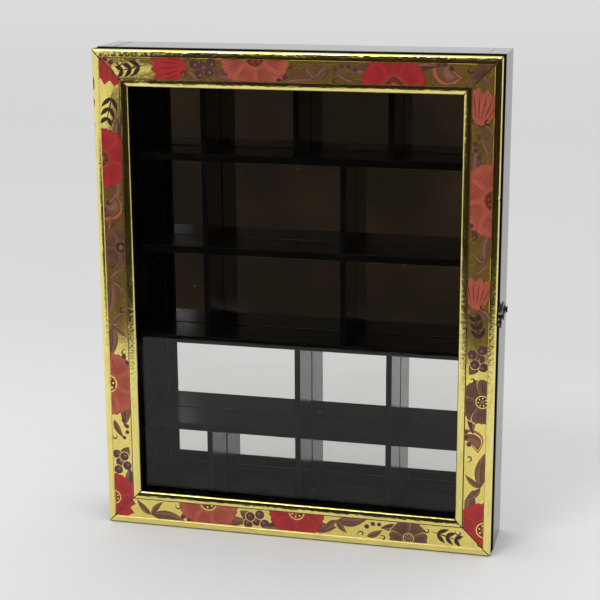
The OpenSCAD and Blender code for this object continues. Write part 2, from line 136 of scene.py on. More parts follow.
class Finish:
    """A node material that is built one layer after another."""

    def __init__(self, name, colour, roughness=0.5, metallic=0.0, **inputs):
        self.mat = bpy.data.materials.new(name)
        self.mat.use_nodes = True
        self.tree = self.mat.node_tree
        self.bsdf = self.tree.nodes["Principled BSDF"]
        self.colour = tuple(colour)
        inputs.update(Base_Color=self.colour, Roughness=roughness, Metallic=metallic)
        for key, value in inputs.items():
            self.bsdf.inputs[key.replace("_", " ")].default_value = value
        self.last_colour = None
        self.last_bump = None
        self.place = self.node("ShaderNodeTexCoord", {}).outputs["Object"]

    def node(self, kind, inputs, **settings):
        return new_node(self.tree, kind, inputs, **settings)

    def link(self, out, key):
        self.tree.links.new(out, self.bsdf.inputs[key])

    def noise(self, scale, detail=4.0, rough=0.55, stretch=None):
        """Noise, if need be in coordinates scaled by axis, for grain and streaks."""
        at = self.place
        if stretch:
            at = self.node("ShaderNodeMapping", {"Scale": stretch, "Vector": at}).outputs["Vector"]
        inputs = {"Scale": scale, "Detail": detail, "Roughness": rough, "Vector": at}
        return self.node("ShaderNodeTexNoise", inputs).outputs["Fac"]

    def cells(self, scale):
        inputs = {"Scale": scale, "Vector": self.place}
        return self.node("ShaderNodeTexVoronoi", inputs).outputs["Distance"]

    def waves(self, scale, distortion):
        inputs = {"Scale": scale, "Distortion": distortion, "Detail": 2.0, "Vector": self.place}
        made = self.node("ShaderNodeTexWave", inputs, wave_type="BANDS", bands_direction="DIAGONAL")
        return made.outputs["Fac"]

    def span(self, value, low, high, to_low=0.0, to_high=1.0):
        """The value mapped from one span to another, held inside it."""
        inputs = {"Value": value, "From Min": low, "From Max": high, "To Min": to_low, "To Max": to_high}
        return self.node("ShaderNodeMapRange", inputs, clamp=True).outputs["Result"]

    def lay(self, colour, amount):
        """Lays a colour over the last one, as strongly as amount says."""
        inputs = {"Factor": amount, "A": self.last_colour or self.colour, "B": tuple(colour)[:3] + (1.0,)}
        made = self.node("ShaderNodeMix", inputs, data_type="RGBA", blend_type="MIX")
        self.last_colour = made.outputs["Result"]
        self.link(self.last_colour, "Base Color")

    def over(self, colour, value, low, high, most=1.0):
        """Lays a colour over the last one, from none to most as a value goes from low to high."""
        self.lay(colour, self.span(value, low, high, 0.0, most))

    def rough(self, value, low, high):
        """Roughness that follows a value from low to high."""
        self.link(self.span(value, 0.3, 0.7, low, high), "Roughness")

    def bump(self, value, distance, strength):
        inputs = {"Distance": distance, "Strength": strength, "Height": value}
        if self.last_bump:
            inputs["Normal"] = self.last_bump
        self.last_bump = self.node("ShaderNodeBump", inputs).outputs["Normal"]
        self.link(self.last_bump, "Normal")

    def see_through(self, amount, tint=(1.0, 1.0, 1.0, 1.0)):
        """Lets light straight through, as strongly as amount says."""
        clear = self.node("ShaderNodeBsdfTransparent", {"Color": tint})
        mix = self.node("ShaderNodeMixShader", {0: amount, 1: self.bsdf.outputs[0], 2: clear.outputs[0]})
        self.tree.links.new(mix.outputs[0], self.tree.nodes["Material Output"].inputs["Surface"])


def shade(colour, factor):
    return tuple(min(1.0, c * factor) for c in tuple(colour)[:3]) + (1.0,)


STREAK, GRAIN = 0.12, 0.05


def along_axis(axis, share):
    """Scales that draw a pattern out along one axis."""
    return (share, 1.0, 1.0) if axis == "X" else (1.0, 1.0, share)


def gilding(along):
    """Burnished metal leaf with rub marks along the moulding and specks of dark ground."""
    gold = colours().gilding
    f = Finish("gilding_" + along.lower(), gold, 0.2, 1.0)
    streak = f.noise(900.0, 5.0, 0.6, along_axis(along, STREAK))
    f.over(shade(gold, 0.72), streak, 0.5, 0.75, 0.8)
    f.over(shade(gold, 1.18), f.noise(120.0, 3.0, 0.5), 0.5, 0.8, 0.5)
    f.over((0.10, 0.055, 0.012), f.noise(1500.0, 3.0, 0.7), 0.71, 0.76, 0.85)
    f.rough(streak, 0.09, 0.2)
    f.bump(streak, 6e-5, 0.5)
    f.bump(f.noise(420.0, 2.0, 0.5), 0.00012, 0.4)
    f.bump(f.noise(1050.0, 2.0, 0.6), 0.0001, 0.5)
    return f.mat


def worn_ground():
    """Dark red-brown ground that shows where the leaf has rubbed off."""
    f = Finish("moulding_ground", (0.055, 0.022, 0.010, 1.0), 0.55)
    f.over((0.16, 0.09, 0.03), f.noise(900.0), 0.55, 0.7)
    f.bump(f.noise(1200.0), 8e-5, 0.6)
    return f.mat


def groove_painted_shade():
    """Painted shade: a dark line in the groove between the printed band and the sight bead, where the
    crevice lies in shade.
    """
    f = Finish("moulding_groove", (0.20, 0.13, 0.035, 1.0), 0.5, 0.7)
    f.over((0.06, 0.03, 0.01), f.noise(700.0), 0.45, 0.65)
    f.bump(f.noise(1200.0), 6e-5, 0.5)
    return f.mat


def glass_edge():
    """Ground, greenish edge of the glass pane."""
    f = Finish("glass_edge", (0.02, 0.04, 0.033, 1.0), 0.45)
    f.over((0.05, 0.08, 0.07), f.noise(700.0, 3.0), 0.5, 0.7)
    f.bump(f.noise(1500.0, 3.0), 5e-5, 0.6)
    return f.mat


def moulding_black():
    """Brushed matt black paint on the moulding's outside and sight lip."""
    f = Finish("moulding_black", (0.003, 0.003, 0.0025, 1.0), 0.6, IOR=1.0)
    brush = f.noise(700.0, 5.0, 0.6, (0.15, 1.0, 0.15))
    f.over((0.009, 0.008, 0.007), brush, 0.5, 0.75)
    f.rough(brush, 0.5, 0.72)
    f.bump(brush, 8e-5, 0.6)
    return f.mat


def stained_wood(along):
    """Black-stained soft wood at the back of the moulding, with the grain just showing."""
    f = Finish("moulding_wood_" + along.lower(), (0.010, 0.008, 0.006, 1.0), 0.7,
               Specular_IOR_Level=0.1)
    grain = f.noise(520.0, 5.0, 0.65, along_axis(along, GRAIN))
    f.over((0.026, 0.017, 0.010), grain, 0.5, 0.68, 0.7)
    f.over((0.018, 0.013, 0.009), f.noise(40.0), 0.5, 0.7, 0.6)
    f.bump(grain, 0.0001, 0.5)
    return f.mat


def printed_ground(along):
    """Gold ground of the printed band: metallic ink broken by a fine grain of brown."""
    gold = colours().band_ground
    f = Finish("band_ground_" + along.lower(), gold, 0.34, 1.0)
    f.over(shade(gold, 0.8), f.noise(160.0, 4.0, 0.6), 0.45, 0.75, 0.6)
    grain = f.span(f.noise(9000.0, 2.0, 0.5), 0.55, 0.63)
    f.lay((0.52, 0.24, 0.06), grain)
    f.link(f.span(grain, 0.0, 1.0, 1.0, 0.0), "Metallic")
    f.rough(f.noise(500.0, 4.0, 0.6, along_axis(along, STREAK)), 0.07, 0.14)
    f.bump(f.noise(600.0, 3.0), 4e-5, 0.35)
    return f.mat


def ink(name, colour):
    """One printed ink: mottled, a little metallic under varnish, with the fine lines of the engraving."""
    f = Finish("ink_" + name, colour, 0.3, 0.2)
    f.over(shade(colour, 0.72), f.noise(260.0, 4.0, 0.6), 0.45, 0.75, 0.75)
    f.over(shade(colour, 1.3), f.noise(90.0, 3.0, 0.6), 0.52, 0.8, 0.6)
    f.over(shade(colour, 0.55), f.waves(520.0, 7.0), 0.70, 0.92, 0.65)
    f.rough(f.noise(420.0, 3.0), 0.28, 0.42)
    f.bump(f.noise(900.0, 3.0), 3e-5, 0.4)
    return f.mat


def lacquer():
    """Black piano lacquer: deep gloss with orange peel, dust nibs and faint rubbed haze."""
    f = Finish("black_lacquer_finish", colours().lacquer, 0.07)
    f.over((0.10, 0.10, 0.10), f.noise(2600.0, 2.0, 0.5), 0.74, 0.80, 0.5)
    f.rough(f.noise(35.0, 4.0, 0.6), 0.05, 0.14)
    f.bump(f.noise(240.0, 2.0, 0.4), 6e-5, 0.25)
    f.bump(f.noise(28.0, 2.0, 0.4), 0.0004, 0.12)
    return f.mat


def slat_paint(name="slat_paint", sheen=0.03, dull=0.4):
    """Black paint on thin slats, with brush marks and settled dust."""
    paint = colours().slats
    f = Finish(name, paint, dull, Specular_IOR_Level=sheen)
    brush = f.noise(420.0, 5.0, 0.6, (0.2, 0.2, 1.0))
    f.over(shade(paint, 2.2), brush, 0.5, 0.75, 0.8)
    f.over((0.18, 0.18, 0.17), f.noise(2100.0, 2.0, 0.6), 0.745, 0.79, 0.6)
    f.over((0.012, 0.0115, 0.011), f.noise(60.0, 3.0), 0.55, 0.75, 0.5)
    f.rough(brush, dull, dull * 1.5)
    f.bump(brush, 7e-5, 0.5)
    return f.mat


def silvered_mirror():
    """Mirror silver with faint waviness, dust and a few foxed spots."""
    f = Finish("mirror_silver", (0.775, 0.775, 0.755, 1.0), 0.015, 1.0)
    f.over((0.72, 0.72, 0.70), f.noise(14.0, 3.0), 0.5, 0.75, 0.5)
    f.over((0.5, 0.5, 0.48), f.noise(900.0, 3.0, 0.6), 0.73, 0.78, 0.5)
    dust = f.span(f.cells(85.0), 0.018, 0.028, 1.0, 0.0)
    f.lay((0.85, 0.85, 0.82), dust)
    f.link(f.span(dust, 0.0, 1.0, 1.0, 0.0), "Metallic")
    f.rough(f.noise(30.0, 3.0), 0.008, 0.035)
    f.bump(f.noise(9.0, 1.0, 0.3), 0.00012, 0.1)
    return f.mat


def clear_glass():
    """Float glass; light passes straight through it to the shelves."""
    f = Finish("glass_clear", (0.985, 0.99, 0.985, 1.0), 0.0, IOR=1.28, Transmission_Weight=1.0)
    f.over((0.95, 0.965, 0.96), f.noise(8.0, 2.0), 0.4, 0.8, 0.4)
    f.bump(f.noise(11.0, 1.0, 0.3), 0.0001, 0.06)
    f.see_through(f.node("ShaderNodeLightPath", {}).outputs["Is Shadow Ray"], (0.93, 0.95, 0.945, 1.0))
    return f.mat


def aged_brass(name="aged_brass", factor=1.0):
    """Pressed brass gone grey-brown, brighter where it is rubbed."""
    brass = shade(colours().brass, factor)
    f = Finish(name, brass, 0.32, 1.0)
    tarnish = f.noise(420.0, 5.0, 0.65)
    f.over(shade(brass, 0.2), tarnish, 0.46, 0.62, 0.9)
    f.over((0.6, 0.54, 0.38), f.noise(900.0, 3.0), 0.66, 0.76, 0.6)
    f.rough(tarnish, 0.18, 0.4)
    f.bump(f.noise(1800.0), 4e-5, 0.5)
    return f.mat


def steel(name, colour, rust):
    """Wire-nail steel with a trace of rust."""
    f = Finish(name, colour, 0.35, 1.0)
    f.over(rust, f.noise(800.0, 4.0, 0.6), 0.55, 0.7, 0.7)
    f.rough(f.noise(600.0, 3.0), 0.28, 0.55)
    f.bump(f.noise(1600.0, 3.0), 4e-5, 0.5)
    return f.mat


def hardboard():
    """Pressed brown fibre board with a smooth face and darker fibres."""
    f = Finish("hardboard", (0.15, 0.085, 0.045, 1.0), 0.55)
    fibre = f.noise(900.0, 6.0, 0.7, (1.0, 1.0, 0.35))
    f.over((0.075, 0.04, 0.02), fibre, 0.5, 0.7, 0.8)
    f.over((0.27, 0.17, 0.10), f.noise(1500.0, 3.0, 0.7), 0.66, 0.76, 0.8)
    f.over((0.10, 0.055, 0.03), f.noise(18.0, 3.0), 0.5, 0.75, 0.6)
    f.rough(fibre, 0.42, 0.68)
    f.bump(fibre, 0.0001, 0.5)
    return f.mat


MADE = {}


def keep(key, maker, *words):
    """Makes a material once and gives the same one afterwards."""
    if key not in MADE:
        MADE[key] = maker(*words)
    return MADE[key]


def placed(name, data):
    obj = bpy.data.objects.new(name, data)
    bpy.context.scene.collection.objects.link(obj)
    return obj


def made_mesh(name, bm, materials):
    """Ends a bmesh and gives the mesh made of it, with its materials."""
    mesh = bpy.data.meshes.new(name)
    bm.to_mesh(mesh)
    bm.free()
    for material in materials:
        mesh.materials.append(material)
    return mesh


def add_piece(name, mesh, node, replaced=()):
    """Places a piece that rides as its construction node does."""
    obj = placed(name, mesh)
    if replaced:
        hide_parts(*replaced)
    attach(obj, body_of(node))
    return obj


def body_of(node):
    return next(b for b, nodes in frame["record"]["behaviour"]["bodies"].items() if node in nodes)


SHARP, WELD, FLAT, CREASE = 0.6, 1e-6, 0.01, math.radians(35)


def softened(node, ending, width, material, segments=3, shortest=0.0):
    """A copy of a construction node with its sharp edges rounded, which stands for the node."""
    name = node + ending
    mesh = frame["nodes"][node].data.copy()
    mesh.materials.clear()
    mesh.materials.append(material)
    bm = bmesh.new()
    bm.from_mesh(mesh)
    bmesh.ops.remove_doubles(bm, verts=bm.verts, dist=WELD)
    bmesh.ops.dissolve_limit(bm, angle_limit=FLAT, verts=bm.verts, edges=bm.edges)
    edges = [e for e in bm.edges if len(e.link_faces) == 2 and e.is_convex
             and e.calc_face_angle(0.0) > SHARP and e.calc_length() > shortest]
    if edges and width > 0.0:
        bmesh.ops.bevel(bm, geom=edges, offset=width, segments=segments, profile=0.5, affect="EDGES",
                        clamp_overlap=True)
    for face in bm.faces:
        face.smooth = True
        face.material_index = 0
    bmesh.ops.triangulate(bm, faces=[f for f in bm.faces if len(f.verts) > 4])
    bm.to_mesh(mesh)
    bm.free()
    mesh.name = name
    obj = add_piece(name, mesh, node, [node])
    mesh.set_sharp_from_angle(angle=CREASE)
    even = obj.modifiers.new("even_normals", "WEIGHTED_NORMAL")
    even.keep_sharp = True
    even.weight = 100
    return obj


def dress(node, material):
    """Gives a construction node that keeps its shape its finish."""
    obj = frame["nodes"][node]
    obj.data.materials.clear()
    obj.data.materials.append(material)


RAILS = {
    "door_rail_top": ("X", "top"), "door_rail_bottom": ("X", "bottom"),
    "door_stile_left": ("Z", "left"), "door_stile_right": ("Z", "right"),
}


def door_edges():
    """Outer edges and front face of the door, read from the construction."""
    left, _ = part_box("door_stile_left")
    _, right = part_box("door_stile_right")
    front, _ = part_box("door_rail_top")
    return {"left": left.x, "right": right.x, "foot": left.z, "top": right.z, "front": front.y}


def rail_length(edges, axis):
    """Outer length of a rail or stile, in millimetres."""
    return ((edges["right"] - edges["left"]) if axis == "X" else (edges["top"] - edges["foot"])) / MM


def on_rail(edges, side, along, across, deep):
    """A point along a rail from its middle, across from the outer edge and back from the front."""
    mid_x, mid_z = (edges["left"] + edges["right"]) / 2, (edges["foot"] + edges["top"]) / 2
    y = edges["front"] + max(0.0, deep)
    x, z = {"bottom": (mid_x + along, edges["foot"] + across),
            "top": (mid_x - along, edges["top"] - across),
            "left": (edges["left"] + across, mid_z - along),
            "right": (edges["right"] - across, mid_z + along)}[side]
    return Vector((x, y, z))


# The moulding's profile, in millimetres: outer bead, flat, sight bead, groove and rebate
BEAD, FALL, EDGE, DROP, STEP, PANEL, CROWN = 3.8, 0.8, 0.9, 2.0, 0.4, 0.6, 0.06
SIGHT, CREST, SIGHT_FALL, SIGHT_EDGE, SIGHT_DROP = 4.0, 0.25, 0.6, 0.9, 2.1
GROOVE, GROOVE_DEEP = 0.6, 0.12
WIDTH, THICK, REBATE_D, REBATE_W = 20.0, 9.5, 3.0, 5.0
BAND_FROM, BAND_TO = BEAD + STEP, WIDTH - SIGHT - GROOVE
EDGE_TURN, BEAD_TURN = math.radians(60.0), math.radians(80.0)
EDGE_STEPS, BEAD_STEPS, BAND_ROWS = 12, 10, 12


def panel_depth(across):
    """Depth of the flat that carries the printed band, in millimetres."""
    return PANEL - CROWN * math.sin(math.pi * (across - BAND_FROM) / (BAND_TO - BAND_FROM))


# How strongly the leaf ripples on the bead, the sight bead and the flat of each side
CRINKLE = {"top": (1.9, 1.3, 0.5), "bottom": (0.2, 1.6, 0.2), "left": (0.8, 1.0, 0.25),
           "right": (0.9, 1.1, 0.25)}


def crinkle(side, along, across, part):
    """How far the leaf stands in or out at a point, in millimetres."""
    outer, inner, flat = CRINKLE[side]
    much = {"bead": outer, "inner": inner, "panel": flat}.get(part, 0.0)
    if not much:
        return 0.0
    swell = noise.noise(Vector((along * 0.11, across * 0.55, 7.0)))
    fine = noise.noise(Vector((along * 0.55, across * 0.8, 3.0)))
    return (swell * 0.8 + fine) * much * sizes().ripple / MM


def edge_round(start, end, width):
    """Points of the round at an edge, across from that edge and back from the front."""
    turns = [EDGE_TURN * i / EDGE_STEPS for i in range(EDGE_STEPS + 1)]
    return [(width * (1 - math.cos(turn)) / (1 - math.cos(EDGE_TURN)),
             start - (start - end) * math.sin(turn) / math.sin(EDGE_TURN)) for turn in turns]


def moulding_profile():
    """Points (across, deep, part) round the moulding; the part names what starts at each point."""
    pts = [(0.0, THICK, "side"), (0.0, THICK * 0.7, "side"), (0.0, DROP + 0.4, "side"),
           (0.0, DROP + 0.12, "side")]
    pts += [(u, v, "bead") for u, v in edge_round(DROP, FALL, EDGE)]
    for i in range(1, BEAD_STEPS + 1):
        k = i / BEAD_STEPS
        pts.append((EDGE + (BEAD - EDGE) * k, FALL * (1 - math.sin(BEAD_TURN * k) / math.sin(BEAD_TURN)),
                    "bead" if i < BEAD_STEPS else "step"))
    pts += [(BEAD + STEP * 0.25, PANEL * 0.15, "step"), (BEAD + STEP * 0.65, PANEL * 0.75, "step")]
    for i in range(BAND_ROWS + 1):
        u = BAND_FROM + (BAND_TO - BAND_FROM) * i / BAND_ROWS
        pts.append((u, panel_depth(u), "panel" if i < BAND_ROWS else "groove"))
    pts += [(BAND_TO + GROOVE * 0.4, PANEL + GROOVE_DEEP, "groove"), (WIDTH - SIGHT - 0.1, PANEL, "groove")]
    face = SIGHT - SIGHT_EDGE
    for i in range(BEAD_STEPS):
        k = i / BEAD_STEPS
        pts.append((WIDTH - SIGHT + face * k, CREST + SIGHT_FALL * k * k, "inner"))
    pts += [(WIDTH - u, v, "inner")
            for u, v in reversed(edge_round(SIGHT_DROP, CREST + SIGHT_FALL, SIGHT_EDGE))]
    pts[-1] = (WIDTH, SIGHT_DROP, "lip")
    foot = THICK - REBATE_D
    return pts + [(WIDTH, (SIGHT_DROP + foot) / 2, "lip"), (WIDTH, foot, "back"),
                  (WIDTH - REBATE_W, foot, "back"), (WIDTH - REBATE_W, THICK, "back")]


# Rubbed chips of each side: place along it, half length and bite, in millimetres
CHIP_REACH, CHIP_DEEP, CHIP_BARE = 1.6, 0.22, 0.09
CHIPS = {"left": [(-119.0, 4.5, 1.7), (-109.0, 3.0, 1.3), (-96.0, 1.2, 0.9), (41.0, 1.4, 0.7)],
         "right": [(63.0, 0.9, 0.6)], "top": [(-33.0, 0.8, 0.5)], "bottom": [(-52.0, 1.0, 0.6)]}


def chip_depth(side, along, across, part):
    """How deep the rubbed chips in the outer bead bite at a point, in millimetres."""
    if part != "bead" or across > CHIP_REACH:
        return 0.0
    deepest = 0.0
    for middle, half, bite in CHIPS[side]:
        reach = abs(along - middle) / half
        if reach < 1.0:
            ragged = 0.75 + 0.5 * noise.noise(Vector((along * 1.7, across * 2.0, middle)))
            depth = CHIP_DEEP * bite * ragged * (1 - reach * reach) * (1 - across / CHIP_REACH)
            deepest = max(deepest, depth)
    return deepest


PLAIN_PARTS = ("side", "back", "lip")
MITRE_GAP, MITRE_SUNK, LEAF_CREASE = 0.06, 0.3, math.radians(40)


def moulding(node):
    """One mitred length of gilded moulding, swept finely enough for its ripple and its chips."""
    axis, side = RAILS[node]
    edges = door_edges()
    length = rail_length(edges, axis)
    profile = moulding_profile()
    mitre = sizes().mitre_line / MM
    steps = max(8, int(length / (sizes().station / MM)))
    gold, black = keep("gold" + axis, gilding, axis), keep("black", moulding_black)
    # The groove's finish is painted shade, a dark line along the crevice between band and sight bead
    finish = {"side": black, "bead": gold, "step": gold, "groove": keep("groove", groove_painted_shade),
              "panel": keep("band" + axis, printed_ground, axis), "inner": gold, "lip": black,
              "back": keep("wood" + axis, stained_wood, axis), "mitre": keep("ground", worn_ground)}
    parts = list(finish)
    bm = bmesh.new()
    rows = []
    for across, deep, part in profile:
        half = length / 2 - MITRE_GAP - across
        runs = [-half + mitre + (2 * half - 2 * mitre) * (k / steps) for k in range(steps + 1)]
        runs = [-half] + runs + [half]
        row = []
        for j, s in enumerate(runs):
            sunk = deep
            bite = 0.0
            if 0 < j < len(runs) - 1:
                sunk += crinkle(side, s, across, part)
                bite = chip_depth(side, s, across, part)
            elif part not in PLAIN_PARTS:
                sunk += MITRE_SUNK
            row.append(bm.verts.new(on_rail(edges, side, s * MM, (across + bite) * MM, (sunk + bite) * MM)))
        rows.append(row)
    for i, row in enumerate(rows):
        part = profile[i][2]
        after = rows[(i + 1) % len(rows)]
        for j in range(len(row) - 1):
            face = bm.faces.new((row[j], row[j + 1], after[j + 1], after[j]))
            at_end = j in (0, len(row) - 2)
            kind = "mitre" if at_end and part not in PLAIN_PARTS else part
            s = (j - 1) / steps * length - length / 2
            if kind == "bead" and chip_depth(side, s, profile[i][0], "bead") > CHIP_BARE:
                kind = "mitre"
            face.material_index = parts.index(kind)
            face.smooth = True
    for j in (0, -1):
        cap = bm.faces.new([row[j] for row in rows])
        cap.material_index = parts.index("back")
    bmesh.ops.recalc_face_normals(bm, faces=bm.faces)
    bmesh.ops.triangulate(bm, faces=[f for f in bm.faces if len(f.verts) > 4])
    mesh = made_mesh(node + "_gilded", bm, finish.values())
    mesh.set_sharp_from_angle(angle=LEAF_CREASE)
    add_piece(node + "_gilded", mesh, node, [node])


def heading(turn):
    """The direction of a turn and the one square to it."""
    return Vector((math.cos(turn), math.sin(turn))), Vector((-math.sin(turn), math.cos(turn)))


def sides(spine, halves):
    """Points left and right of a line, each as far from it as its half width."""
    left, right = [], []
    for i, (p, half) in enumerate(zip(spine, halves)):
        t = (spine[min(len(spine) - 1, i + 1)] - spine[max(0, i - 1)]).normalized()
        n = Vector((-t.y, t.x))
        left.append(p + n * half)
        right.append(p - n * half)
    return left, right


class Motifs:
    """Closed outlines in a band's own plane, each with the ink that fills it; later ones lie on top."""

    def __init__(self):
        self.shapes = []

    def add(self, ink_name, points):
        self.shapes.append((ink_name, [Vector(p) for p in points]))

    def ring(self, ink_name, middle, radius, count):
        turns = [2 * math.pi * i / count for i in range(count)]
        self.add(ink_name, [(middle[0] + radius * math.cos(a), middle[1] + radius * math.sin(a))
                            for a in turns])

    def stroke(self, ink_name, points, wide):
        """A line of changing width through the points, thin at both ends."""
        last = len(points) - 1
        halves = [wide * (0.25 + 0.75 * math.sin(math.pi * i / last)) / 2 for i in range(last + 1)]
        left, right = sides([Vector(p) for p in points], halves)
        self.add(ink_name, left + right[::-1])

    def leaf(self, ink_name, foot, turn, length, wide, bend=0.0):
        """A pointed leaf from its foot, one half of it in the paler ink, with a midrib and side veins."""
        spine = [Vector(foot)]
        for i in range(1, 9):
            spine.append(spine[-1] + heading(turn + bend * i / 8)[0] * length / 8)
        left, right = sides(spine, [wide * math.sin(math.pi * (i / 8) ** 0.8) / 2 for i in range(9)])
        self.add(ink_name, left + right[-2:0:-1])
        if wide > 3.0:
            self.add("pale", [p + (q - p) * 0.82 for p, q in zip(spine, left)][1:8] + spine[7:0:-1])
            self.stroke("stem", spine[0:8], 0.35)
        if wide > 6.0:
            for edge in (left, right):
                for i in (2, 3, 4, 5):
                    middle, tip = (spine[i - 1] + edge[i] * 2) / 3, (spine[i] + edge[i + 1] * 5) / 6
                    self.stroke("stem", [spine[i - 1], middle, tip], 0.28)

    def petal(self, ink_name, middle, turn, reach, wide):
        """A broad petal with three scallops at its tip."""
        t, n = heading(turn)
        side = [(0.12, 0.16), (0.28, 0.50), (0.45, 0.80), (0.62, 0.98), (0.78, 1.0), (0.88, 0.86)]
        tip = [(0.93, 0.68), (0.90, 0.52), (0.98, 0.30), (0.95, 0.16), (1.0, 0.0)]
        half = [middle + t * reach * a + n * wide * b for a, b in side + tip]
        other = [middle + t * reach * a - n * wide * b for a, b in (side + tip)[-2::-1]]
        self.add(ink_name, half + other)


def flower(m, middle, radius, petals, turn, inks):
    """A cropped blossom of broad, overlapping petals with engraved lines, about a ringed eye."""
    outer, line, eye, edge = inks
    middle = Vector(middle)
    wide = radius * math.sin(math.pi / petals) * 0.98
    for i in range(petals):
        a = turn + 2 * math.pi * i / petals
        out, across = heading(a)
        m.petal(edge, middle, a, radius + 0.35, wide + 0.4)
        m.petal(outer, middle, a, radius, wide)
        for w in (-0.7, -0.5, -0.3, -0.1, 0.1, 0.3, 0.5, 0.7):
            reach = 0.90 - abs(w) * 0.22
            m.stroke(line, [middle + out * q * radius + across * w * wide * min(1.0, q * 1.25)
                            for q in (0.34, 0.5, 0.68, reach)], 0.46)
    m.ring("ground", middle, radius * 0.29, 16)
    m.ring(line, middle, radius * 0.25, 16)
    for i in range(7):
        a = turn + 2 * math.pi * i / 7
        m.ring("ground", middle + heading(a)[0] * radius * 0.17, radius * 0.035, 8)
    m.ring(eye, middle, radius * 0.11, 12)


def bell(m, foot, turn, length, ink_name, rim):
    """A hanging bell with a scalloped mouth and engraved ribs."""
    t, n = heading(turn)
    foot = Vector(foot)
    side = [(0.0, 0.08), (0.12, 0.24), (0.35, 0.36), (0.65, 0.42), (0.85, 0.50), (1.0, 0.62)]
    mouth = [(0.90, 0.46), (1.06, 0.30), (0.92, 0.14), (1.08, 0.0), (0.92, -0.14), (1.06, -0.30),
             (0.90, -0.46)]
    m.leaf("leaf", foot + n * length * 0.1, turn + 1.9, length * 0.6, length * 0.28, 0.7)
    m.leaf("leaf", foot - n * length * 0.1, turn - 1.9, length * 0.6, length * 0.28, -0.7)
    pts = [foot + (t * a + n * b) * length for a, b in side]
    pts += [foot + (t * a + n * b) * length for a, b in mouth]
    pts += [foot + (t * a - n * b) * length for a, b in reversed(side)]
    m.add(ink_name, pts)
    for b in (-0.33, -0.17, 0.0, 0.17, 0.33):
        m.stroke(rim, [foot + (t * a + n * b * (0.35 + a)) * length for a in (0.16, 0.4, 0.65, 0.86)], 0.6)


def drop(m, foot, turn, length, way):
    """A bent drop with a smaller drop in it."""
    for ink_name, part in (("salmon", 1.0), ("ground", 0.80), ("leaf", 0.70), ("pale", 0.42)):
        left, right = [], []
        for i in range(13):
            q = i / 12
            out, across = heading(turn + way * 1.5 * q * q)
            p = Vector(foot) + out * length * (q * part + (1 - part) * 0.35)
            w = length * 0.30 * part * math.sin(math.pi * min(1.0, (1 - q) ** 0.75))
            left.append(p + across * w)
            right.append(p - across * w)
        m.add(ink_name, left[:-1] + right[:0:-1])


def curl(m, foot, turn, size, way):
    """A dark tendril that rolls up at its end."""
    pts = []
    for i in range(18):
        a = i / 17 * 1.6 * math.pi
        r = size * (1 - i / 21)
        pts.append((foot[0] + size * math.cos(turn) + r * math.cos(turn + math.pi + way * a),
                    foot[1] + size * math.sin(turn) + r * math.sin(turn + math.pi + way * a)))
    m.stroke("stem", pts, 0.8)


def seeds(m, foot, way, count):
    """Round seeds in a bow."""
    for i in range(count):
        m.ring("plum", (foot[0] + 3.5 * i, foot[1] + (1.9 - 0.9 * (i - 1.5) ** 2) * way), 1.4 - 0.1 * i, 14)


def sprig(m, foot, turn, length):
    """A dark twig with three pairs of pointed leaves."""
    out, _ = heading(turn)
    foot = Vector(foot)
    m.stroke("stem", [foot, foot + out * length * 0.5, foot + out * length], 0.9)
    for q in (0.2, 0.5, 0.8):
        for way in (-1, 1):
            m.leaf("stem", foot + out * length * q, turn + way * 0.85, length * 0.40 * (1.2 - 0.5 * q),
                   2.4, -way * 0.4)


def berries(m, spot, up, g):
    """A bunch of round berries on a leaf."""
    m.leaf("leaf", spot(-7.0, -4.0), up * 0.7, 14.0 * g, 6.4, -up * 0.6)
    for along, rise in ((-2.6, 3.4), (1.8, 1.6), (-1.4, -1.0), (3.6, -2.6), (6.2, 2.8)):
        middle = spot(along, rise)
        m.ring("ground", middle, 2.8 * g, 16)
        m.ring("plum", middle, 2.45 * g, 16)
        m.ring("pale", (spot(along - 0.5, rise)[0], middle[1] + 0.5), 0.8 * g, 10)


# Length of band that each motif takes, in millimetres
ROOM = {"peony": 30.0, "daisy": 34.0, "mallow": 24.0, "bell": 22.0,
        "leaves": 23.0, "berries": 17.0, "drop": 19.0, "sprig": 19.0, "dots": 16.0}
BLOOMS = ("peony", "daisy", "mallow", "bell")
FILLERS = ("leaves", "berries", "drop", "sprig", "leaves", "dots")
BACKWARD = 3.14
LEAD_IN, RUN_OUT, GROWTH = 14.0, 8.0, (0.92, 1.15)
BAND_TRIM, BAND_END, GUIDE_STEP, GUIDE_EDGE, MEET = 0.05, 0.45, 1.1, 0.4, 1e-4
# Each ink's colour setting and how much lighter or darker it is printed; the ground is metal
INKS = {"ground": None, "crimson": ("crimson", 1.0), "wine": ("crimson", 0.45), "salmon": ("salmon", 1.0),
        "leaf": ("leaf", 1.0), "pale": ("leaf", 1.55), "plum": ("plum", 1.0), "stem": ("stem", 1.0)}


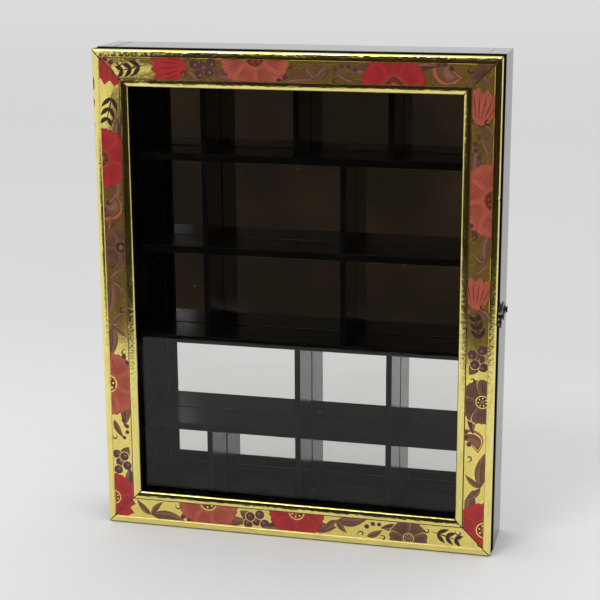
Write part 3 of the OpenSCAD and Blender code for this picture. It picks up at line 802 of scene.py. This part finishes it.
def zone(m, kind, at, mid, up, g, rng):
    """One motif with what grows about it, in the middle of its room along the band."""
    def spot(along, rise):
        return at + along * g, mid + up * rise

    if kind == "peony":
        m.leaf("leaf", spot(6.0, 1.0), up * 0.25, 16.0 * g, 6.6, -up * 0.5)
        m.leaf("plum", spot(-6.0, 2.0), BACKWARD - up * 0.4, 14.0 * g, 5.4, up * 0.5)
        flower(m, spot(0.0, -6.2), 15.0 * g, 6, rng.uniform(0, 1.0), ("crimson", "wine", "salmon", "wine"))
    elif kind == "daisy":
        m.leaf("leaf", spot(8.0, 2.0), up * 0.2, 16.0 * g, 6.2, -up * 0.4)
        flower(m, spot(0.0, -7.4), 18.0 * g, 7, rng.uniform(0, 1.0), ("salmon", "wine", "plum", "crimson"))
        seeds(m, spot(-15.5, 3.0), up, 2)
    elif kind == "mallow":
        m.leaf("plum", spot(-3.0, 1.5), BACKWARD - up * 0.2, 14.0 * g, 5.0, up * 0.4)
        flower(m, spot(0.0, -3.4), 11.5 * g, 5, rng.uniform(0, 1.0), ("leaf", "stem", "pale", "ground"))
        curl(m, spot(9.0, 3.6), -up * 0.5, 2.2, up)
    elif kind == "bell":
        bell(m, spot(-9.0, -1.5), up * rng.uniform(0.1, 0.35), 17.5 * g, rng.choice(("crimson", "salmon")),
             "wine")
        curl(m, spot(-8.0, 4.6), -up * 1.2, 2.2, up)
    elif kind == "leaves":
        for turn, length in ((2.6, 11.0), (0.16, 19.0), (1.15, 10.0)):
            m.leaf("leaf", spot(-4.0, -3.6), up * turn, length * g, length * 0.34, -up * 0.5)
        curl(m, spot(9.0, 4.2), -up * 0.4, 2.2, up)
    elif kind == "berries":
        berries(m, spot, up, g)
    elif kind == "drop":
        drop(m, spot(-7.0, -1.6), up * 0.05, 17.0 * g, up * 0.5)
        seeds(m, spot(-2.0, 3.4), up, 3)
    elif kind == "sprig":
        sprig(m, spot(-8.0, -2.0), up * 0.25, 16.0 * g)
        curl(m, spot(5.0, -3.8), up * 0.6, 2.0, -up)
    else:
        seeds(m, spot(-5.0, 1.6), up, 4)
        m.leaf("leaf", spot(-5.0, -4.4), up * 0.2, 11.0 * g, 3.6, up * 0.5)
        curl(m, spot(3.0, -3.4), -up * 0.7, 1.9, -up)


def dealt(kinds, rng, last):
    """The kinds in a mixed order that does not begin with the last one used."""
    order = list(kinds)
    rng.shuffle(order)
    if order[0] == last:
        order.append(order.pop(0))
    return order


def band_motifs(half, seed):
    """Blossoms and bells in turn with leaves, berries, drops and sprigs, also across the band's edges."""
    rng = random.Random(seed)
    m = Motifs()
    mid = (BAND_FROM + BAND_TO) / 2
    blooms, fillers, last_bloom, last_filler = [], [], "", ""
    at = -half - rng.uniform(0.0, LEAD_IN)
    while at < half + RUN_OUT:
        blooms = blooms or dealt(BLOOMS, rng, last_bloom)
        last_bloom = blooms.pop(0)
        kinds = [last_bloom]
        for _ in range(rng.choice((1, 2))):
            fillers = fillers or dealt(FILLERS, rng, last_filler)
            last_filler = fillers.pop(0)
            kinds.append(last_filler)
        for kind in kinds:
            g = sizes().motif_scale * rng.uniform(*GROWTH)
            zone(m, kind, at + ROOM[kind] * g / 2, mid, rng.choice((-1, 1)), g, rng)
            at += ROOM[kind] * g
    return m


def inside(point, outline):
    x, y = point
    hit = False
    for i, a in enumerate(outline):
        b = outline[i - 1]
        if (a.y > y) != (b.y > y) and x < (b.x - a.x) * (y - a.y) / (b.y - a.y) + a.x:
            hit = not hit
    return hit


def clipped(outline, half):
    """The outline cut to the band between the mitres, by Sutherland and Hodgman's rule."""
    walls = [(Vector((0, 1)), BAND_FROM + BAND_TRIM), (Vector((0, -1)), -BAND_TO + BAND_TRIM)]
    slope = math.sqrt(0.5)
    for sign in (-1, 1):
        walls.append((Vector((-sign * slope, -slope)), -half * slope))
    for normal, offset in walls:
        kept = []
        for i, b in enumerate(outline):
            a = outline[i - 1]
            da, db = a.dot(normal) - offset, b.dot(normal) - offset
            if (da >= 0) != (db >= 0):
                kept.append(a + (b - a) * (da / (da - db)))
            if db >= 0:
                kept.append(b)
        outline = kept
        if len(outline) < 3:
            return []
    return outline


def guide_points(half):
    """Points spread over the band, so that the sheet follows the crown and the ripple under it."""
    guides = []
    for i in range(1, BAND_ROWS):
        u = BAND_FROM + (BAND_TO - BAND_FROM) * i / BAND_ROWS
        s = -half + u + GUIDE_EDGE
        while s < half - u - GUIDE_EDGE:
            guides.append(Vector((s, u)))
            s += GUIDE_STEP
    return guides


def band_inks(axis):
    """The materials of a band's inks, in their order."""
    made = []
    for name, setting in INKS.items():
        if setting is None:
            made.append(keep("band" + axis, printed_ground, axis))
        else:
            made.append(keep(name, ink, name, shade(getattr(colours(), setting[0]), setting[1])))
    return made


def printed_band(node):
    """The printed sheet on one length of moulding, cut along its motifs' outlines into faces of one ink."""
    axis, side = RAILS[node]
    edges = door_edges()
    half = rail_length(edges, axis) / 2 - BAND_END
    corners = [(-half, BAND_FROM), (half, BAND_FROM), (half, BAND_TO), (-half, BAND_TO)]
    shapes = [("ground", clipped([Vector(corner) for corner in corners], half))]
    for name, outline in band_motifs(half, sizes().band_seed + list(RAILS).index(node)).shapes:
        cut = clipped(outline, half)
        if cut:
            shapes.append((name, cut))
    coords, cuts = [], []
    for _, outline in shapes:
        first, count = len(coords), len(outline)
        cuts += [(first + i, first + (i + 1) % count) for i in range(count)]
        coords += outline
    verts, _, tris, _, _, _ = delaunay_2d_cdt(coords + guide_points(half), cuts, [], 0, MEET, False)
    names = list(INKS)
    bm = bmesh.new()
    made = []
    for p in verts:
        deep = panel_depth(min(max(p.y, BAND_FROM), BAND_TO)) - sizes().band_lift / MM
        deep += crinkle(side, p.x, p.y, "panel")
        made.append(bm.verts.new(on_rail(edges, side, p.x * MM, p.y * MM, deep * MM)))
    boxes = [(min(p.x for p in o), max(p.x for p in o), min(p.y for p in o), max(p.y for p in o))
             for _, o in shapes]
    for tri in tris:
        middle = sum((verts[i] for i in tri), Vector((0.0, 0.0))) / 3
        over = [k for k, (x0, x1, y0, y1) in enumerate(boxes)
                if x0 <= middle.x <= x1 and y0 <= middle.y <= y1 and inside(middle, shapes[k][1])]
        if 0 in over:
            face = bm.faces.new([made[i] for i in tri])
            face.material_index = names.index(shapes[over[-1]][0])
            face.smooth = True
    bmesh.ops.delete(bm, geom=[v for v in bm.verts if not v.link_faces], context="VERTS")
    bmesh.ops.recalc_face_normals(bm, faces=bm.faces)
    if sum(f.normal.y * f.calc_area() for f in bm.faces) > 0:
        bmesh.ops.reverse_faces(bm, faces=bm.faces)
    name = "printed_band_" + side
    add_piece(name, made_mesh(name, bm, band_inks(axis)), node)


# Edges up to this length stay sharp on the boards and on the panel, in metres
SHORT_BOARD, SHORT_PANEL = 0.004, 0.01
PANEL_EDGE, TACK_EDGE = 0.15 * MM, 0.12 * MM


class BOX_OT_case(bpy.types.Operator):
    """Lacquers the four boards of the case and softens their edges"""
    bl_idname = "box.case"
    bl_label = "Lacquered case"

    def execute(self, context):
        inward = {"case_top": (0, 0, -1), "case_bottom": (0, 0, 1), "case_left": (1, 0, 0),
                  "case_right": (-1, 0, 0)}
        for node, way in inward.items():
            board = softened(node, "_lacquered", sizes().board_edge, keep("lacquer", lacquer),
                             shortest=SHORT_BOARD)
            board.data.materials.append(keep("slats", slat_paint))
            for face in board.data.polygons:
                face.material_index = 1 if face.normal.dot(Vector(way)) > 0.7 else 0
        return {"FINISHED"}


class BOX_OT_slats(bpy.types.Operator):
    """Paints the shelves and dividers and softens their edges"""
    bl_idname = "box.slats"
    bl_label = "Shelves and dividers"

    def execute(self, context):
        for node in sorted(frame["nodes"]):
            if node.startswith(("shelf_", "divider_")):
                slat = softened(node, "_painted", sizes().slat_edge, keep("slats", slat_paint), segments=2)
                slat.data.materials.append(keep("slat_sides", slat_paint, "slat_paint_sides", 0.5, 0.14))
                for face in slat.data.polygons:
                    face.material_index = 1 if abs(face.normal.y) < 0.5 else 0
        return {"FINISHED"}


class BOX_OT_back(bpy.types.Operator):
    """Finishes the mirror, the back panel and its tacks"""
    bl_idname = "box.back"
    bl_label = "Mirror and back"

    def execute(self, context):
        dress("mirror_pane", keep("mirror", silvered_mirror))
        softened("back_panel", "_board", PANEL_EDGE, keep("hardboard", hardboard), shortest=SHORT_PANEL)
        tack = keep("tack", steel, "tack_steel", (0.32, 0.32, 0.33, 1.0), (0.16, 0.07, 0.03))
        softened("back_panel_tacks", "_steel", TACK_EDGE, tack)
        nail = keep("nail", steel, "nail_steel", (0.25, 0.25, 0.26, 1.0), (0.12, 0.05, 0.02))
        for node in ("case_corner_nails", "door_corner_nails"):
            dress(node, nail)
        return {"FINISHED"}


class BOX_OT_mouldings(bpy.types.Operator):
    """Sweeps the four gilded lengths of the door's moulding"""
    bl_idname = "box.mouldings"
    bl_label = "Gilded mouldings"

    def execute(self, context):
        for node in RAILS:
            moulding(node)
        return {"FINISHED"}


class BOX_OT_bands(bpy.types.Operator):
    """Prints the floral band of each length of moulding"""
    bl_idname = "box.bands"
    bl_label = "Printed bands"

    def execute(self, context):
        for node in RAILS:
            printed_band(node)
        return {"FINISHED"}


class BOX_OT_glazing(bpy.types.Operator):
    """Finishes the glass pane and the points that hold it"""
    bl_idname = "box.glazing"
    bl_label = "Glass and points"

    def execute(self, context):
        pane = frame["nodes"]["glass_pane"]
        dress("glass_pane", keep("glass", clear_glass))
        pane.data.materials.append(keep("glass_edge", glass_edge))
        for face in pane.data.polygons:
            face.material_index = 0 if abs(face.normal.y) > 0.5 else 1
        zinc = keep("zinc", steel, "zinc_sheet", (0.06, 0.06, 0.065, 1.0), (0.02, 0.018, 0.015))
        dress("glazing_points", zinc)
        return {"FINISHED"}


class BOX_OT_hinges(bpy.types.Operator):
    """Finishes the two brass hinges and their pins and nails"""
    bl_idname = "box.hinges"
    bl_label = "Hinges"

    def execute(self, context):
        brass = keep("brass", aged_brass)
        for node in sorted(frame["nodes"]):
            if node.startswith("hinge_"):
                softened(node, "_brass", sizes().metal_edge, brass, segments=2)
        return {"FINISHED"}


class BOX_OT_latch(bpy.types.Operator):
    """Finishes the hook latch and what it closes over"""
    bl_idname = "box.latch"
    bl_label = "Hook latch"

    def execute(self, context):
        brass = keep("brass", aged_brass)
        dark = keep("dark_brass", aged_brass, "dark_brass", 0.35)
        for node in ("latch_base_plate", "latch_hook", "catch_plate", "catch_stud"):
            rounding = 1.8 if node == "latch_hook" else 1.0
            softened(node, "_brass", sizes().metal_edge * rounding, brass)
        for node in ("latch_base_nails", "catch_nails", "latch_pivot"):
            softened(node, "_brass", sizes().metal_edge * 1.6, dark)
        return {"FINISHED"}


# The photo's view: lens in millimetres, place in metres and the picture's own directions
LENS, SENSOR, CLIP = 92.917, 36.0, (0.05, 50.0)
CAMERA_PLACE = (0.201329, -0.815116, 0.354667)
CAMERA_RIGHT = (0.97056719, 0.24076237, -0.00572758)
CAMERA_UP = (-0.05583964, 0.24810937, 0.96712133)
CAMERA_BACK = (0.23426749, -0.93833642, 0.25425091)
LAMP_PLACE, LAMP_TARGET, LAMP_SIDE, LAMP_WATTS = (-0.65, -1.45, 2.2), (0.0, 0.0, 0.1), 0.7, 12.0
WORLD_LIGHT, WORLD_SEEN = (0.9, 0.9, 0.9, 1.0), (0.74, 0.74, 0.74, 1.0)
FLOOR_RADIUS, FLOOR_CORNERS = 9.0, 48
CARD_Y = -0.38575
CARD_OUTLINE = [(-0.60, 0.0), (0.90, 0.0), (0.90, 0.62), (-0.26, 0.62), (-0.26, 0.238), (-0.20, 0.228),
                (-0.20, 0.210), (-0.234, 0.207), (-0.236, 0.18), (-0.26, 0.168), (-0.60, 0.11)]


def direct_sight(tree):
    """1 where a ray has met only clear glass since it left the camera, 0 after any other bounce."""
    path = new_node(tree, "ShaderNodeLightPath", {})
    bounces = {0: path.outputs["Glossy Depth"], 1: path.outputs["Diffuse Depth"]}
    both = new_node(tree, "ShaderNodeMath", bounces, operation="ADD")
    return new_node(tree, "ShaderNodeMath", {0: both.outputs[0], 1: 0.5}, operation="LESS_THAN").outputs[0]


class BOX_OT_stage(bpy.types.Operator):
    """Sets the floor, the dark room in front, the lamp, the world and the camera"""
    bl_idname = "box.stage"
    bl_label = "Stage"

    def execute(self, context):
        scene = context.scene
        scene.view_settings.view_transform = "Standard"
        self.floor()
        self.room()
        self.world(scene)
        self.lamp()
        self.camera(scene)
        return {"FINISHED"}

    def floor(self):
        """A pale paper floor with painted shade: darker from just behind the box, and lighter again far
        off.
        """
        paper = colours().floor
        f = Finish("floor_paper", paper, 0.75, Specular_IOR_Level=0.0)
        back = f.node("ShaderNodeSeparateXYZ", {"Vector": f.place}).outputs["Y"]
        f.over(shade(paper, 0.97), f.noise(3.0, 2.0), 0.4, 0.7, 0.5)
        # Painted shade: the floor colour darkens from just behind the box and lightens again far off
        f.over(shade(paper, 0.865), back, 0.08, 0.40)
        f.over(shade(paper, 0.945), back, 1.5, 3.5)
        bm = bmesh.new()
        for i in range(FLOOR_CORNERS):
            a = 2 * math.pi * i / FLOOR_CORNERS
            bm.verts.new((FLOOR_RADIUS * math.cos(a), FLOOR_RADIUS * math.sin(a), 0.0))
        bm.faces.new(bm.verts)
        placed("floor", made_mesh("floor", bm, [f.mat]))

    def room(self):
        """A dark card in front, seen only in the glass, the mirror and the gilding."""
        f = Finish("room_dark", (0.022, 0.016, 0.011, 1.0), 0.9, Specular_IOR_Level=0.0)
        f.over((0.050, 0.032, 0.019), f.noise(7.0, 2.0), 0.45, 0.65, 0.9)
        f.see_through(direct_sight(f.tree))
        bm = bmesh.new()
        bm.faces.new([bm.verts.new((x, CARD_Y, z)) for x, z in CARD_OUTLINE])
        card = placed("room_card", made_mesh("room_card", bm, [f.mat]))
        card.visible_camera = card.visible_diffuse = card.visible_shadow = False

    def world(self, scene):
        world = bpy.data.worlds.new("studio")
        world.use_nodes = True
        tree = world.node_tree
        light = tree.nodes["Background"]
        light.inputs["Color"].default_value = WORLD_LIGHT
        seen = new_node(tree, "ShaderNodeBackground", {"Color": WORLD_SEEN})
        both = {0: direct_sight(tree), 1: light.outputs[0], 2: seen.outputs[0]}
        mix = new_node(tree, "ShaderNodeMixShader", both)
        tree.links.new(mix.outputs[0], tree.nodes["World Output"].inputs["Surface"])
        scene.world = world

    def lamp(self):
        data = bpy.data.lights.new("key_lamp", "AREA")
        data.shape = "RECTANGLE"
        data.size = data.size_y = LAMP_SIDE
        data.energy = LAMP_WATTS
        obj = placed("key_lamp", data)
        obj.location = LAMP_PLACE
        obj.rotation_euler = (Vector(LAMP_TARGET) - Vector(LAMP_PLACE)).to_track_quat("-Z", "Y").to_euler()

    def camera(self, scene):
        data = bpy.data.cameras.new("photo_view")
        data.lens, data.sensor_width = LENS, SENSOR
        data.clip_start, data.clip_end = CLIP
        obj = placed("photo_view", data)
        turn = Matrix((CAMERA_RIGHT, CAMERA_UP, CAMERA_BACK)).transposed().to_4x4()
        obj.matrix_world = Matrix.Translation(CAMERA_PLACE) @ turn
        scene.camera = obj


STEPS = (BOX_OT_case, BOX_OT_slats, BOX_OT_back, BOX_OT_mouldings, BOX_OT_bands, BOX_OT_glazing,
         BOX_OT_hinges, BOX_OT_latch, BOX_OT_stage)


class BOX_PT_panel(bpy.types.Panel):
    """Lists the steps and the sizes and colours they use"""
    bl_idname = "BOX_PT_panel"
    bl_label = "Display box"
    bl_space_type = "VIEW_3D"
    bl_region_type = "UI"
    bl_category = "Display Box"

    def draw(self, context):
        for step in STEPS:
            self.layout.operator(step.bl_idname)
        for group in (context.scene.box_sizes, context.scene.box_colours):
            column = self.layout.column(align=True)
            for name in group.__annotations__:
                column.prop(group, name)


CLASSES = (BOX_PG_sizes, BOX_PG_colours) + STEPS + (BOX_PT_panel,)


def register():
    for cls in CLASSES:
        bpy.utils.register_class(cls)
    bpy.types.Scene.box_sizes = PointerProperty(type=BOX_PG_sizes)
    bpy.types.Scene.box_colours = PointerProperty(type=BOX_PG_colours)


def unregister():
    del bpy.types.Scene.box_colours
    del bpy.types.Scene.box_sizes
    for cls in reversed(CLASSES):
        bpy.utils.unregister_class(cls)


def main():
    register()
    bpy.ops.box.case()
    bpy.ops.box.slats()
    bpy.ops.box.back()
    bpy.ops.box.mouldings()
    bpy.ops.box.bands()
    bpy.ops.box.glazing()
    bpy.ops.box.hinges()
    bpy.ops.box.latch()
    bpy.ops.box.stage()
    bpy.context.view_layer.update()


if __name__ == "__main__":
    main()
